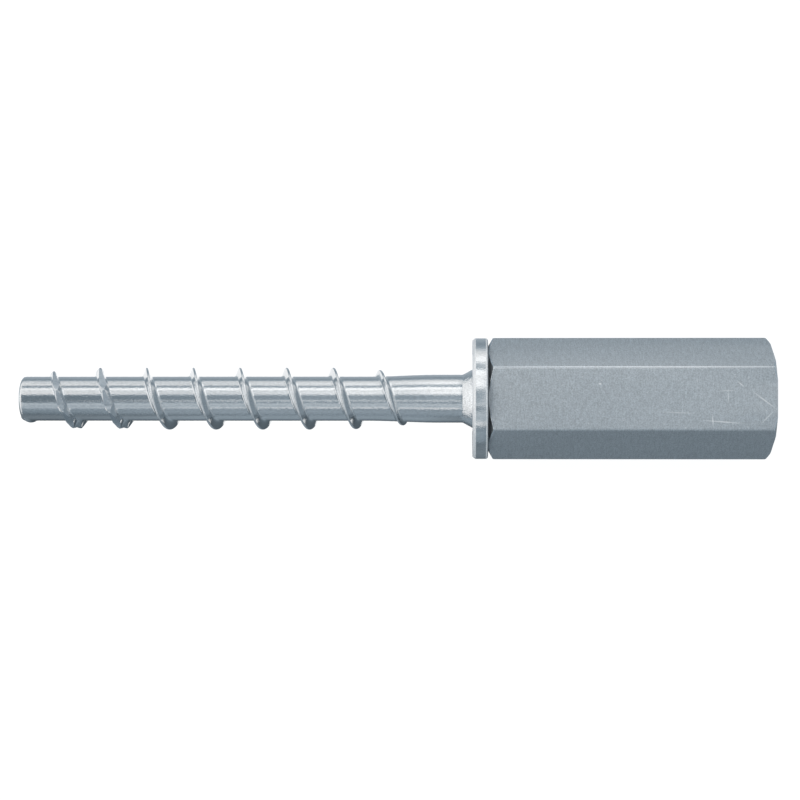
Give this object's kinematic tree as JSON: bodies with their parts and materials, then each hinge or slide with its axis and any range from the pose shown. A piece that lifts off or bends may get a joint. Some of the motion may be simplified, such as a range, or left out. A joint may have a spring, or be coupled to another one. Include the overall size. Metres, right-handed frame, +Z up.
{
  "type": "internally threaded concrete screw",
  "caption": "Concrete screw with a coarse toothed thread, a round flange and a long hexagon coupling threaded inside for M10 and M8 rod.",
  "frame": {"origin": "centre of the flange's bearing face, on the screw's axis", "axes": "+X along the screw's axis from the tip to the coupling's mouth; +Z up, square to two of the hexagon's flats; the screw lies on its side"},
  "size_m": [0.0916, 0.0148, 0.0148],
  "materials": {
    "bright_zinc": "bright zinc plate on rolled and turned steel",
    "dull_zinc": "dull grey zinc plate on drawn hexagon steel"
  },
  "bodies": {
    "root": {"concrete_screw": "bright_zinc", "hexagon_coupling": "dull_zinc"}
  },
  "joints": []
}
